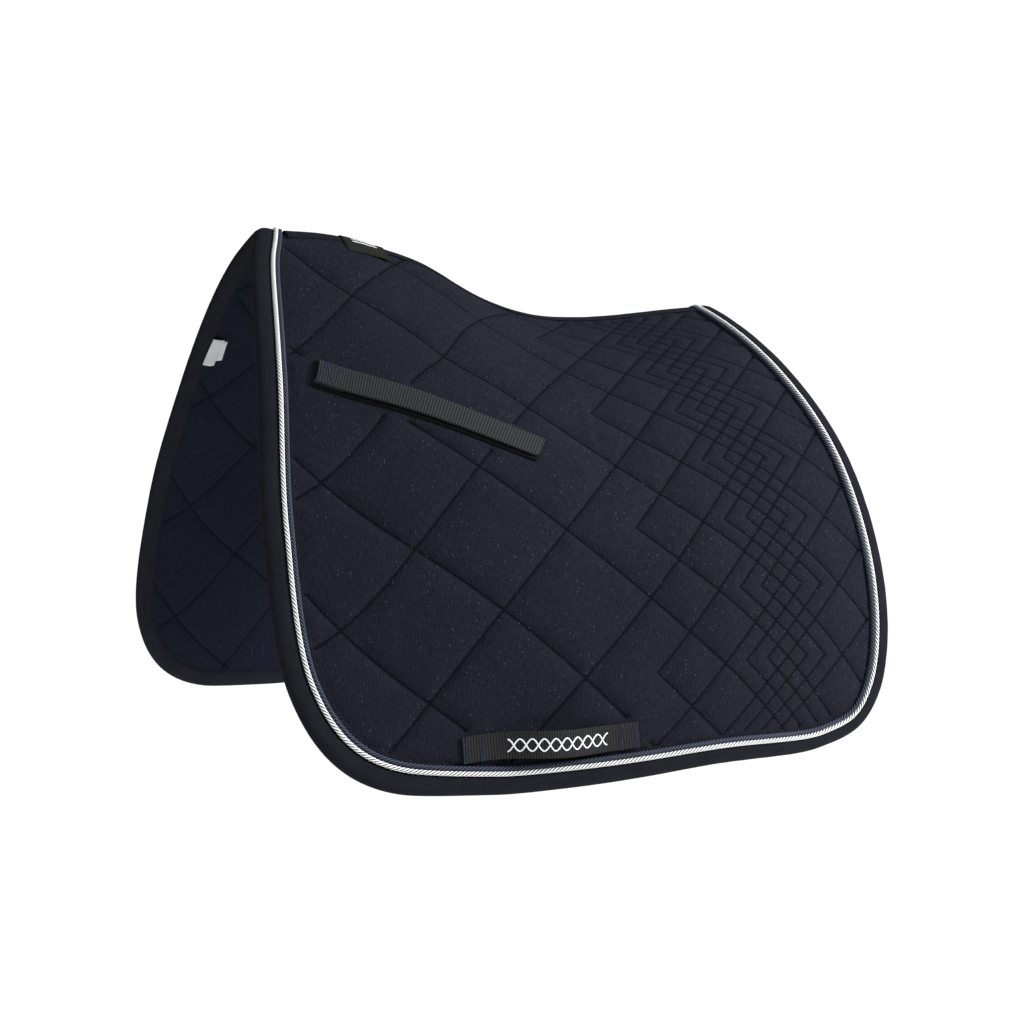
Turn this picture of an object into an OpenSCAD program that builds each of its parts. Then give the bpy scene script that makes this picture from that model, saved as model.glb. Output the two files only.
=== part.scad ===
// Quilted saddle pad, in the shape it takes when it lies over a horse's back.
// +X points to the horse's tail, +Y to its right and +Z up. The origin is on the
// underside of the spine, half way along it. A place on a flap is given as [x, t]:
// x along the horse, and t down the outer face from the spine, both in millimetres.
// A depth is measured from the outer face towards the horse.

/* [Spine] */
// Length of the pad along the spine
spine_len = 491; // [460:1:520]
// Rise of the withers above the lowest point of the spine
withers_rise = 67; // [40:1:80]
// Place of the top of the withers
withers_x = -195; // [-215:5:-175]
// Extra height of the spine just behind the withers
crest_h = 5; // [0:0.5:8]
// Place of the lowest point of the spine
dip_x = 60; // [40:5:80]
// Rise of the loin above the lowest point of the spine
loin_rise = 19; // [5:1:30]
// Place of the top of the loin
loin_x = 270; // [250:5:300]

/* [Flaps] */
// Depth of a flap from the spine to the hem
flap_drop = 565; // [520:5:600]
// Slope of the front of a flap beside the spine, in degrees below level
front_spine_slope = 41; // [30:1:45]
// Slope of the middle of a flap beside the spine
middle_spine_slope = 20; // [15:1:30]
// Slope of the rear of a flap beside the spine
rear_spine_slope = 19; // [15:1:30]
// Slope of the front of a flap near the hem
front_hem_slope = 73; // [65:1:85]
// Slope of the middle of a flap near the hem
middle_hem_slope = 92; // [80:1:95]
// Slope of the rear of a flap near the hem
rear_hem_slope = 98; // [80:1:100]

/* [Layers] */
// Thickness of the quilted outer cotton
cover_t = 1.2; // [0.8:0.1:1.6]
// Thickness of the wadding
wadding_t = 5.7; // [4:0.1:8]
// Thickness of the lining
lining_t = 0.9; // [0.6:0.1:1.2]
// Thickness of the binding, spine and label tapes
tape_t = 0.8; // [0.5:0.1:1]

/* [Edge] */
// Width of the binding on each face
binding_w = 16; // [14:1:20]
// Diameter of the white piping cord
white_cord_d = 4.4; // [3:0.2:5]
// Diameter of the navy piping cord beside it
navy_cord_d = 4.2; // [3:0.2:5.4]
// Width of the tapes that cover the spine seam
spine_tape_w = 28; // [20:2:36]

/* [Webbing] */
// Width of the billet straps and girth loops
webbing_w = 24; // [20:1:26]
// Thickness of the webbing
webbing_t = 1.5; // [1:0.1:2]
// Part of a billet strap's length that is sewn down at its front end
sewn_share = 0.14; // [0.12:0.01:0.2]
// Height of a girth loop's arch above the cover
loop_arch = 11; // [9:0.5:13]

/* [Hidden] */

LEFT = -1;
RIGHT = 1;
layer_gap = 0.1;      // between layers that are sewn together
moving_gap = 0.3;     // between a piece that moves and one that doesn't
seam_gap = 0.15;      // from each half's top edge to the middle of the spine seam
on_spine = 0.2;       // places this near the spine are mitred, so that the halves meet
laid_gap = 0.35;      // under a tape, tag or thread that lies on a curved layer
cord_gap = 0.3;       // under a piping cord
edge_pinch = 0.35;    // share of the thickness that the binding squeezes out at the edge
fold_room = 2.4;      // from the binding's fold to the edge of the layers
station_x = 260;      // the slopes are given at -station_x, 0 and +station_x
section_ref = 500;    // distance down the flap at which the hem slopes are given
section_steps = 10;   // steps in which a section's curve is added up

// How early each section bends: above 0 mostly near the spine, below 0 near the hem.
front_bend = 0.49;
middle_bend = -0.5;
rear_bend = -0.53;

pad_t = cover_t + wadding_t + lining_t + 2 * layer_gap;
spine_stack = (pad_t + laid_gap + tape_t) / cos(middle_spine_slope);

// ---- The draped surface ----

function ramp(u) = (1 - cos(180 * min(max(u, 0), 1))) / 2;
function sum(v) = v * [for (i = v) 1];
function unit(v) = v / norm(v);
function pick(v, i) = is_list(v) ? v[i] : v;

function along(front, middle, rear, x) =
    let (u = x / station_x)
    front * u * (u - 1) / 2 + middle * (1 - u * u) + rear * u * (u + 1) / 2;

function rise(x) =
    withers_rise * ramp((dip_x - x) / (dip_x - withers_x))
    + loin_rise * ramp((x - dip_x) / (loin_x - dip_x));

function spine_z(x) = spine_stack + rise(x) - rise(0);

// The extra height behind the withers fades out along the horse and down each flap.
crest_x = -80;
crest_half_len = 38;
crest_reach = 70;
function crest(x, t) = crest_h
    * exp(-pow((x - crest_x) / crest_half_len, 2) - pow(t / crest_reach, 2));

function slope(x, t) =
    let (
        u = t / section_ref,
        top = along(front_spine_slope, middle_spine_slope, rear_spine_slope, x),
        hem = along(front_hem_slope, middle_hem_slope, rear_hem_slope, x),
        bend = along(front_bend, middle_bend, rear_bend, x)
    )
    top + (hem - top) * (u + bend * u * (1 - u));

// A point of the right flap's outer face.
function drape(x, t) =
    let (
        step = t / section_steps,
        angles = [for (i = [0.5 : section_steps]) slope(x, i * step)]
    )
    [x, step * sum([for (a = angles) cos(a)]),
        spine_z(x) + crest(x, t) - step * sum([for (a = angles) sin(a)])];

// Outward normal. Beside the spine it stays in a plane y = constant, so that the halves meet.
function outward(x, t) =
    let (
        down = slope(x, t),
        n = unit(cross(drape(x + 1, t) - drape(x - 1, t), [0, cos(down), -sin(down)])),
        mitre = unit([n[0], 0, n[2]])
    )
    t > on_spine ? n : mitre / (n * mitre);

function at(side, p, depth) =
    let (q = drape(p[0], p[1]) - depth * outward(p[0], p[1]))
    [q[0], side * q[1], q[2]];

// ---- The outline of a flap ----

// From the spine at the withers, down the front, along the hem and up the rear.
outline_shape = [
    [-246, 0], [-264, 61], [-281, 181], [-295, 316], [-289, 452],
    [-236, 534], [-128, 565.5], [37, 541], [186.5, 550.5],
    [251, 493], [257, 306], [249, 153], [245, 0]
];
outline_points = [for (p = outline_shape) [p[0] * spine_len / 491, p[1] * flap_drop / 565]];
outline_end = len(outline_points) - 1;
front_corner = 5;
rear_corner = 9;
front_steps = 3;
hem_steps = 4;
rear_steps = 5;
side_cells = front_steps * front_corner;
hem_cells = hem_steps * (rear_corner - front_corner);

// A curve that passes through each point; s counts the points from 0.
function curve(points, s) =
    let (
        last = len(points) - 1,
        i = min(floor(s), last - 1),
        u = s - i,
        b = points[i],
        c = points[i + 1],
        a = i > 0 ? points[i - 1] : 2 * b - c,
        d = i + 1 < last ? points[i + 2] : 2 * c - b
    )
    (2 * b + (c - a) * u + (2 * a - 5 * b + 4 * c - d) * pow(u, 2)
        + (3 * b - a - 3 * c + d) * pow(u, 3)) / 2;

function inward(s) =
    s <= 0 ? [1, 0]
    : s >= outline_end ? [-1, 0]
    : let (along_edge = unit(curve(outline_points, s + 0.05) - curve(outline_points, s - 0.05)))
        [along_edge[1], -along_edge[0]];

function inset(s, distance) = curve(outline_points, s) + distance * inward(s);

// Stations along the outline, with as many down the front as up the rear.
stations = concat(
    [for (i = [0 : front_corner - 1], k = [0 : front_steps - 1]) i + k / front_steps],
    [for (i = [front_corner : rear_corner - 1], k = [0 : hem_steps - 1]) i + k / hem_steps],
    [for (i = [rear_corner : outline_end - 1], k = [0 : rear_steps - 1]) i + k / rear_steps],
    [outline_end]
);
last_station = len(stations) - 1;

// ---- The grid that every layer of a flap is built on ----

frame_line = [for (s = stations) inset(s, binding_w)];

function mix(a, b, u) = a * (1 - u) + b * u;

function grid_place(i, j) =
    let (
        u = i / hem_cells,
        v = j / side_cells,
        front = frame_line[j],
        rear = frame_line[last_station - j],
        hem = frame_line[side_cells + i],
        spine = mix(frame_line[0], frame_line[last_station], u),
        hem_front = frame_line[side_cells],
        hem_rear = frame_line[side_cells + hem_cells]
    )
    mix(spine, hem, v) + mix(front, rear, u)
        - mix(mix(frame_line[0], frame_line[last_station], u), mix(hem_front, hem_rear, u), v);

grid_places = [for (j = [0 : side_cells], i = [0 : hem_cells]) grid_place(i, j)];
edge_places = [for (s = stations) inset(s, fold_room)];
columns = hem_cells + 1;
grid_count = len(grid_places);
layer_count = grid_count + len(stations);

// The binding squeezes the layers towards the middle of their thickness.
function pinched(depth, share) = pad_t / 2 + (depth - pad_t / 2) * (1 - edge_pinch * share);

function off_seam(p) = [p[0], max(p[1], seam_gap)];

function layer_points(side, depth) = concat(
    [for (p = grid_places) at(side, off_seam(p), depth)],
    [for (p = edge_places) at(side, off_seam(p), pinched(depth, 1))]
);

function rim_index(k) =
    k <= side_cells ? k * columns
    : k <= side_cells + hem_cells ? side_cells * columns + k - side_cells
    : (last_station - k) * columns + hem_cells;

layer_quads = concat(
    [for (j = [0 : side_cells - 1], i = [0 : hem_cells - 1])
        let (a = j * columns + i) [a, a + 1, a + 1 + columns, a + columns]],
    [for (k = [0 : last_station - 1])
        [grid_count + k, rim_index(k), rim_index(k + 1), grid_count + k + 1]]
);
layer_rim = concat(
    [for (k = [0 : last_station]) grid_count + k],
    [for (i = [hem_cells : -1 : 0]) i]
);

// A closed sheet from two matching sets of points, an outer and an inner one.
module sheet(side, outer, inner, quads, rim) {
    n = len(outer);
    m = len(rim);
    faces = concat(
        [for (q = quads) each [[q[0], q[3], q[2]], [q[0], q[2], q[1]]]],
        [for (q = quads) each [[n + q[0], n + q[2], n + q[3]], [n + q[0], n + q[1], n + q[2]]]],
        [for (k = [0 : m - 1]) let (a = rim[k], b = rim[(k + 1) % m])
            each [[a, n + a, n + b], [a, n + b, b]]]
    );
    polyhedron(concat(outer, inner),
        side == RIGHT ? faces : [for (f = faces) [f[0], f[2], f[1]]]);
}

module layer(side, depth, thickness)
    sheet(side, layer_points(side, depth), layer_points(side, depth + thickness),
        layer_quads, layer_rim);

// ---- Bands: tapes, webbing, labels and threads that lie on a flap ----

function band_quads(rows, cols) = [for (r = [0 : rows - 2], c = [0 : cols - 2])
    let (a = r * cols + c) [a, a + 1, a + 1 + cols, a + cols]];

function band_rim(rows, cols) = concat(
    [for (r = [0 : rows - 1]) r * cols],
    [for (c = [1 : cols - 1]) (rows - 1) * cols + c],
    [for (r = [rows - 2 : -1 : 0]) r * cols + cols - 1],
    [for (c = [cols - 2 : -1 : 1]) c]
);

// The direction across a path, to the right of its own direction.
function across(path, i) =
    let (
        last = len(path) - 1,
        d = unit(path[min(i + 1, last)] - path[max(i - 1, 0)])
    )
    [-d[1], d[0]];

// A band of width w along a path on one flap, between two depths. Width and depths
// are either numbers or lists with one value for each point of the path.
module band(side, path, w, outer_depth, inner_depth) {
    rows = [-0.5, 0, 0.5];
    cols = len(path);
    outer = [for (r = rows, i = [0 : cols - 1])
        at(side, path[i] + r * pick(w, i) * across(path, i), pick(outer_depth, i))];
    inner = [for (r = rows, i = [0 : cols - 1])
        at(side, path[i] + r * pick(w, i) * across(path, i), pick(inner_depth, i))];
    sheet(side, outer, inner, band_quads(len(rows), cols), band_rim(len(rows), cols));
}

// A band over the spine: profile lists [distance down each flap, outer depth].
module saddle_band(xs, profile, thickness) {
    n = len(profile);
    sides = concat([for (k = [n - 1 : -1 : 1]) [LEFT, profile[k]]],
        [for (k = [0 : n - 1]) [RIGHT, profile[k]]]);
    outer = [for (s = sides, x = xs) at(s[0], [x, s[1][0]], s[1][1])];
    inner = [for (s = sides, x = xs) at(s[0], [x, s[1][0]], s[1][1] + thickness)];
    sheet(RIGHT, outer, inner, band_quads(len(sides), len(xs)), band_rim(len(sides), len(xs)));
}

function straight(from, to, cells) = [for (i = [0 : cells]) mix(from, to, i / cells)];

// ---- Rings: the binding and cords that run all round the pad ----

module all_round(rings_right) {
    n = len(rings_right);
    m = len(rings_right[0]);
    rings = concat(rings_right,
        [for (i = [n - 2 : -1 : 1]) [for (p = rings_right[i]) [p[0], -p[1], p[2]]]]);
    count = len(rings);
    polyhedron([for (r = rings) each r],
        [for (r = [0 : count - 1], i = [0 : m - 1])
            let (a = r * m + i, b = r * m + (i + 1) % m,
                next = (r + 1) % count, c = next * m + (i + 1) % m, d = next * m + i)
            each r < n - 1 ? [[a, c, b], [a, d, c]] : [[a, d, b], [d, c, b]]]);
}

// The binding's section as [distance from the edge, depth], once round the tape.
tape_out = layer_gap + tape_t;
lining_tape_out = pad_t + laid_gap + tape_t;
binding_section = [
    [binding_w, -tape_out], [fold_room, -tape_out], [1, 0.5 - layer_gap], [0, pad_t / 2],
    [1, pad_t - 0.5 + layer_gap], [fold_room, lining_tape_out], [binding_w, lining_tape_out],
    [binding_w, pad_t + laid_gap], [fold_room - 0.3, pad_t + laid_gap],
    [fold_room - 0.3, -layer_gap], [binding_w, -layer_gap]
];

function binding_ring(s) = [for (p = binding_section)
    let (share = min(max((binding_w - p[0]) / (binding_w - fold_room), 0), 1))
    at(RIGHT, inset(s, p[0]), pinched(p[1], share))];

function cord_ring(s, distance, d, sides) =
    let (
        place = inset(s, distance),
        centre = at(RIGHT, place, -d / 2 - cord_gap),
        up = unit(outward(place[0], place[1])),
        aside = unit(at(RIGHT, inset(s, distance + 1), 0) - at(RIGHT, inset(s, distance - 1), 0))
    )
    [for (k = [0 : sides - 1]) centre + d / 2 * (cos(360 * k / sides) * up
        + sin(360 * k / sides) * aside)];

cord_sides = 8;
cord_spacing = 0.3;
white_cord_at = binding_w + cord_spacing + white_cord_d / 2;
navy_cord_at = white_cord_at + white_cord_d / 2 + cord_spacing + navy_cord_d / 2;
cords_end = navy_cord_at + navy_cord_d / 2;

// ---- Billet straps ----

// The strap's centre line runs back and down, a little bowed, on each flap.
strap_from = [-231, 181];
strap_to = [-60, 262];
strap_bow = 10;
strap_base_extra = 5;       // the base tape is wider than the strap
strap_base_drop = 1.5;      // and shows below it
hook_from = 0.5;            // the hook tape lies under the rear half of the strap
hook_to = 0.97;
hinge_gap_share = 0.003;     // slit at the hinge, as a share of the strap's length

function strap_place(u) = mix(strap_from, strap_to, u) + [0, strap_bow * 4 * u * (1 - u)];
function strap_path(from, to, cells) = [for (i = [0 : cells]) strap_place(mix(from, to, i / cells))];

base_top = -moving_gap + layer_gap - tape_t;
hook_bottom = base_top - moving_gap;
hook_t = 0.8;
strap_bottom = hook_bottom - hook_t - layer_gap;
strap_top = strap_bottom - webbing_t;

module strap_base(side) {
    color([0.05, 0.05, 0.06])
    band(side, [for (p = strap_path(-0.03, 1.0, 12)) p + [0, strap_base_drop]],
        webbing_w + strap_base_extra, base_top, -moving_gap + layer_gap);
}

// The end is folded under, so it is two layers thick.
module strap_sewn_end(side) {
    color([0.16, 0.17, 0.2])
    band(side, strap_path(0, sewn_share - hinge_gap_share, 3), webbing_w,
        strap_top, base_top - layer_gap);
}

module billet_strap(side) {
    cells = 12;
    tip = [for (i = [0 : cells]) i < cells ? webbing_w : webbing_w - 4];
    color([0.16, 0.17, 0.2])
    band(side, strap_path(sewn_share + hinge_gap_share, 1, cells), tip, strap_top, strap_bottom);
}

module strap_hook_tape(side) {
    color([0.07, 0.07, 0.08])
    band(side, strap_path(hook_from, hook_to, 6), webbing_w - 4,
        hook_bottom - hook_t, hook_bottom);
}

// ---- Girth loops ----

loop_from = [-157, 524.5];
loop_to = [-9, 506.5];
loop_bow = 3.5;
loop_flat = 0.13;           // share of the loop that is sewn flat at each end
loop_cells = 24;
loop_bottom = -2 * layer_gap;
loop_rows = [0.021, 0.108, 0.892, 0.979];
thread_w = 1.2;
thread_t = 0.4;

function loop_place(u) = mix(loop_from, loop_to, u) + [0, loop_bow * 4 * u * (1 - u)];
function loop_lift(u) = loop_arch
    * pow(sin(180 * min(max((u - loop_flat) / (1 - 2 * loop_flat), 0), 1)), 2);

module girth_loop(side) {
    path = [for (i = [0 : loop_cells]) loop_place(i / loop_cells)];
    inner = [for (i = [0 : loop_cells]) loop_bottom - loop_lift(i / loop_cells)];
    color([0.09, 0.09, 0.1])
    band(side, path, webbing_w, [for (d = inner) d - webbing_t], inner);
}

// Rows of thread across the sewn ends, outside on the webbing and inside on the lining.
module loop_stitching(side) {
    top = loop_bottom - webbing_t - layer_gap;
    back = pad_t + 2 * laid_gap;
    color([0.12, 0.16, 0.36])
    for (u = loop_rows) {
        centre = loop_place(u);
        half = [0, webbing_w / 2 - 1.5];
        band(side, straight(centre - half, centre + half, 2), thread_w, top - thread_t, top);
        band(side, straight(centre - 0.6 * half, centre + 0.6 * half, 2), thread_w,
            back, back + thread_t);
    }
}

// A plain braid of two waves, embroidered on the outside of the loop.
motif_from = 0.24;
motif_to = 0.82;
motif_waves = 3.5;
motif_height = 6;
motif_cells = 36;

module loop_motif(side) {
    color([0.85, 0.85, 0.85])
    for (strand = [0, 1]) {
        us = [for (i = [0 : motif_cells]) mix(motif_from, motif_to, i / motif_cells)];
        path = [for (i = [0 : motif_cells]) loop_place(us[i])
            + [0, motif_height * cos(360 * motif_waves * i / motif_cells + 180 * strand)]];
        inner = [for (u = us) loop_bottom - loop_lift(u) - webbing_t - laid_gap];
        band(side, path, thread_w, [for (d = inner) d - thread_t], inner);
    }
}

// Box and cross of thread through the sewn end of a billet strap.
module strap_stitching(side) {
    top = strap_top - layer_gap;
    corner_us = [0.02, sewn_share - 0.03];
    side_at = webbing_w / 2 - 3;
    corners = [for (u = corner_us, v = [-1, 1])
        strap_place(u) + v * side_at * across(strap_path(u - 0.01, u + 0.01, 2), 1)];
    color([0.16, 0.22, 0.5])
    for (pair = [[0, 1], [2, 3], [0, 2], [1, 3], [0, 3], [1, 2]])
        band(side, straight(corners[pair[0]], corners[pair[1]], 2), thread_w,
            top - thread_t, top);
}

// ---- Spine tapes and labels ----

spine_front = outline_points[0][0] + cords_end + cord_spacing;
spine_rear = outline_points[outline_end][0] - cords_end - cord_spacing;

// The tapes bend at the same places along the spine as the layers under them.
function spine_places(from, to) = concat([from],
    [for (i = [1 : hem_cells - 1]) grid_place(i, 0)[0]], [to]);

module spine_tape(from, to, depth) {
    color([0.06, 0.07, 0.12])
    saddle_band(spine_places(from, to),
        [for (t = [0, spine_tape_w / 4, spine_tape_w / 2]) [t, depth]], tape_t);
}

module spine_tape_top() spine_tape(spine_front, spine_rear, -laid_gap - tape_t);
module spine_tape_under() spine_tape(outline_points[0][0] + binding_w + cord_spacing,
    outline_points[outline_end][0] - binding_w - cord_spacing, pad_t + laid_gap);

label_x = -145;
label_len = 42;
label_half = 30;
label_t = 0.6;
label_top = -laid_gap - tape_t - layer_gap - label_t;
label_low = -laid_gap - label_t;

module spine_label() {
    color([0.04, 0.04, 0.05])
    saddle_band([for (i = [-2 : 2]) label_x + label_len * i / 4],
        [[0, label_top], [spine_tape_w / 2 + 0.5, label_top],
            [spine_tape_w / 2 + 4, label_low], [label_half, label_low]],
        label_t);
}

// Two plain stripes on each side of the label.
module spine_label_marks() {
    color([0.85, 0.85, 0.85])
    for (side = [LEFT, RIGHT], t = [6, 11])
        band(side, straight([label_x - 12, t], [label_x + 12, t], 2), thread_w,
            label_top - layer_gap - thread_t, label_top - layer_gap);
}

care_t = 0.3;
care_rear_depth = pad_t + moving_gap;
care_front_depth = lining_tape_out + moving_gap;

// Satin tags that hang on the right lining, sewn in beside the front binding.
module care_label(from, to, tag_w, depth) {
    color([0.9, 0.9, 0.9])
    band(RIGHT, straight(from, to, 3), tag_w, depth, depth + care_t);
}

// ---- The nodes ----

module cover(side) color([0.07, 0.08, 0.15]) layer(side, 0, cover_t);
module wadding(side) color([0.85, 0.85, 0.82])
    layer(side, cover_t + layer_gap, wadding_t);
module lining(side) color([0.08, 0.1, 0.2])
    layer(side, cover_t + wadding_t + 2 * layer_gap, lining_t);
module edge_binding() color([0.05, 0.06, 0.1])
    all_round([for (s = stations) binding_ring(s)]);
module white_piping() color([0.9, 0.9, 0.9])
    all_round([for (s = stations) cord_ring(s, white_cord_at, white_cord_d, cord_sides)]);
module navy_piping() color([0.08, 0.1, 0.22])
    all_round([for (s = stations) cord_ring(s, navy_cord_at, navy_cord_d, cord_sides)]);

cover(LEFT);  // left_cover
cover(RIGHT);  // right_cover
wadding(LEFT);  // left_wadding
wadding(RIGHT);  // right_wadding
lining(LEFT);  // left_lining
lining(RIGHT);  // right_lining
spine_tape_top();
spine_tape_under();
edge_binding();
white_piping();
navy_piping();
strap_base(LEFT);  // left_strap_base
strap_base(RIGHT);  // right_strap_base
strap_sewn_end(LEFT);  // left_strap_sewn_end
strap_sewn_end(RIGHT);  // right_strap_sewn_end
billet_strap(LEFT);  // left_billet_strap
billet_strap(RIGHT);  // right_billet_strap
strap_hook_tape(LEFT);  // left_strap_hook_tape
strap_hook_tape(RIGHT);  // right_strap_hook_tape
strap_stitching(LEFT);  // left_strap_stitching
strap_stitching(RIGHT);  // right_strap_stitching
girth_loop(LEFT);  // left_girth_loop
girth_loop(RIGHT);  // right_girth_loop
loop_stitching(LEFT);  // left_loop_stitching
loop_stitching(RIGHT);  // right_loop_stitching
loop_motif(LEFT);  // left_loop_motif
loop_motif(RIGHT);  // right_loop_motif
spine_label();
spine_label_marks();
care_label([-254, 132], [-260.8, 160], 12.6, care_front_depth);  // care_label_front
care_label([-250.5, 136], [-252.3, 158], 13, care_rear_depth);  // care_label_rear
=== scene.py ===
"""Looks of the quilted saddle pad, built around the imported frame.

A place on a flap is x along the horse and t down the outer face from the spine, both in
millimetres, and a depth is measured from the outer face towards the horse. lay() turns
them into the frame's metres.
"""

import functools
import math

import bpy
import numpy as np
from mathutils import Matrix, Vector
from mathutils.kdtree import KDTree


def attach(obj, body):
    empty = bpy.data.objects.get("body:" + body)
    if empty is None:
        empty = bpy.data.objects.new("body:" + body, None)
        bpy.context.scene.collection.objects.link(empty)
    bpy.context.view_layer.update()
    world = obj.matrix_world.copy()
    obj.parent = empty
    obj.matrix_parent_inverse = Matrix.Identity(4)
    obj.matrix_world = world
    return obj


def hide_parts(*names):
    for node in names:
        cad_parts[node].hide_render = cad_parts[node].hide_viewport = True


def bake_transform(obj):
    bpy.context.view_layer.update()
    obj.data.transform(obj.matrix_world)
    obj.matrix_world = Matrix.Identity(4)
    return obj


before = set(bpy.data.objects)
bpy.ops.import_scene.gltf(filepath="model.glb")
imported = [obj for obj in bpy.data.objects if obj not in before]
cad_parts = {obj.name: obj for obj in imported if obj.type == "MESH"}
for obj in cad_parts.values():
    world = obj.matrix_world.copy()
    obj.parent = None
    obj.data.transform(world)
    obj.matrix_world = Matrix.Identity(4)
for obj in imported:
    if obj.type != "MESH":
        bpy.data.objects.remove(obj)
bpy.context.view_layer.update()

LEFT, RIGHT = -1, 1
NAMES = {LEFT: "left", RIGHT: "right"}
MM = 0.001
UV_MM = 100  # millimetres of cloth to one unit of uv

# ---- The draped surface, as in the CAD ----

STATION_X = 260.0  # along() takes values at -260, 0 and 260
SECTION_REF = 500.0  # length down the cloth that the slopes are given for
TOP_SLOPE = (41, 20, 19)  # degrees beside the ridge, at the front, middle and rear
HEM_SLOPE = (73, 92, 98)
SLOPE_BEND = (0.49, -0.5, -0.53)
PAD_T = 8.0
TAPE_GAP = 0.35  # between the lining and the tape under the spine
TAPE_T = 0.8
SPINE_STACK = (PAD_T + TAPE_GAP + TAPE_T) / math.cos(math.radians(TOP_SLOPE[1]))
RIDGE_ROUND = 4.0  # radius that the ridge is rounded by
LOW_X = 60  # where the ridge is lowest
FRONT_RISE, FRONT_RUN = 67, 255
REAR_RISE, REAR_RUN = 19, 210
CREST_H, CREST_X, CREST_LONG, CREST_DEEP = 5, -80, 38, 70


def unit(v):
    return v / np.linalg.norm(v, axis=-1, keepdims=True)


def along(front, middle, rear, x):
    u = x / STATION_X
    return front * u * (u - 1) / 2 + middle * (1 - u * u) + rear * u * (u + 1) / 2


def ramp(u):
    return (1 - np.cos(np.pi * np.clip(u, 0, 1))) / 2


def rise(x):
    """Height of the ridge over its lowest point."""
    return FRONT_RISE * ramp((LOW_X - x) / FRONT_RUN) + REAR_RISE * ramp((x - LOW_X) / REAR_RUN)


def crest(x, t):
    """A low swelling over the withers."""
    return CREST_H * np.exp(-(((x - CREST_X) / CREST_LONG) ** 2) - (t / CREST_DEEP) ** 2)


def slope(x, t):
    u = t / SECTION_REF
    top, hem, bend = along(*TOP_SLOPE, x), along(*HEM_SLOPE, x), along(*SLOPE_BEND, x)
    return np.radians(top + (hem - top) * (u + bend * u * (1 - u)))


def section(x, t, steps=10):
    """How far out and how far down the cloth gets over the length t."""
    y, z = 0.0, 0.0
    for i in range(steps):
        a = slope(x, (i + 0.5) * t / steps)
        y, z = y + np.cos(a) * t / steps, z + np.sin(a) * t / steps
    return y, z


def drape(x, t):
    """Outer face of the right flap, in millimetres. Negative t is on the left flap."""
    d = np.abs(t)
    y = section(x, d)[0]
    z = section(x, np.sqrt(d * d + RIDGE_ROUND**2))[1]
    return np.stack([x, np.sign(t) * y, SPINE_STACK + rise(x) - rise(0.0) + crest(x, t) - z], -1)


def outward(x, t):
    along_x = drape(x + 1, t) - drape(x - 1, t)
    down = drape(x, t + 1) - drape(x, t - 1)
    return unit(np.cross(along_x, down))


def lay(side, x, t, depth=0.0):
    """Points in the frame, in metres."""
    x, t, depth = np.broadcast_arrays(*[np.asarray(v, float) for v in (x, t, depth)])
    p = drape(x, t) - depth[..., None] * outward(x, t)
    return p * [MM, side * MM, MM]


# ---- Lines of places ----


def running(points):
    """Length along a line, at each of its points."""
    return np.concatenate([[0], np.cumsum(np.linalg.norm(np.diff(points, axis=0), axis=1))])


def read_at(at, run, points):
    """Points of a line at other lengths than its own."""
    return np.stack([np.interp(at, run, column) for column in points.T], 1)


def straight(p, q, count):
    return np.stack([np.linspace(p[k], q[k], count) for k in (0, 1)], 1)


def arc(start, chord, sag, u):
    """A shallow curve from start by chord, that sags down the flap between its ends."""
    u = np.asarray(u, float)
    return np.stack([start[0] + chord[0] * u, start[1] + chord[1] * u + sag * u * (1 - u)], -1)


def strap_centre(u):
    return arc((-231, 181), (171, 81), 40, u)


def loop_centre(u):
    return arc((-157, 526), (148, -19.7), 10.5, u)


def near_line(x, t, line, half_width):
    """Distance outside a band of that half width along a line of points, 0 within it."""
    d = np.full(x.shape, 1e9)
    for p, q in zip(line[:-1], line[1:]):
        r = q - p
        w = np.clip(((x - p[0]) * r[0] + (t - p[1]) * r[1]) / (r @ r), 0, 1)
        d = np.minimum(d, np.hypot(x - p[0] - w * r[0], t - p[1] - w * r[1]))
    return np.maximum(d - half_width, 0)


# ---- The outline of a flap ----

OUTLINE = np.array(
    [
        [-246, 0], [-264, 61], [-281, 181], [-295, 316], [-289, 452], [-236, 534], [-128, 565.5],
        [37, 541], [186.5, 550.5], [251, 493], [257, 306], [249, 153], [245, 0],
    ],
    float,
)
EDGE_POINTS = 1201
SPINE_TURN = 25  # the inward direction turns over this length to run along the horse at the spine
OVERRUN, OVERRUN_STEP = 20, 2.0  # points that carry each end of the edge on past the spine


def curve(s):
    """Places on the outline, a Catmull-Rom curve; s counts its corners."""
    last = len(OUTLINE) - 1
    i = np.clip(np.floor(s).astype(int), 0, last - 1)
    u = (s - i)[:, None]
    b, c = OUTLINE[i], OUTLINE[i + 1]
    a = np.where((i > 0)[:, None], OUTLINE[np.maximum(i - 1, 0)], 2 * b - c)
    d = np.where((i + 1 < last)[:, None], OUTLINE[np.minimum(i + 2, last)], 2 * c - b)
    cubic = (2 * a - 5 * b + 4 * c - d) * u**2 + (3 * b - a - 3 * c + d) * u**3
    return (2 * b + (c - a) * u + cubic) / 2


def inward_of(edge):
    tangent = unit(np.gradient(edge, axis=0))
    inward = np.stack([tangent[:, 1], -tangent[:, 0]], 1)
    for ahead in (1.0, -1.0):  # at the front end, then at the rear end
        w = np.clip(1 - edge[:, 1] / SPINE_TURN, 0, 1) * (np.sign(edge[:, 0]) == -ahead)
        inward = inward * (1 - w[:, None]) + w[:, None] * np.array([ahead, 0.0])
    return unit(inward)


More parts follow.
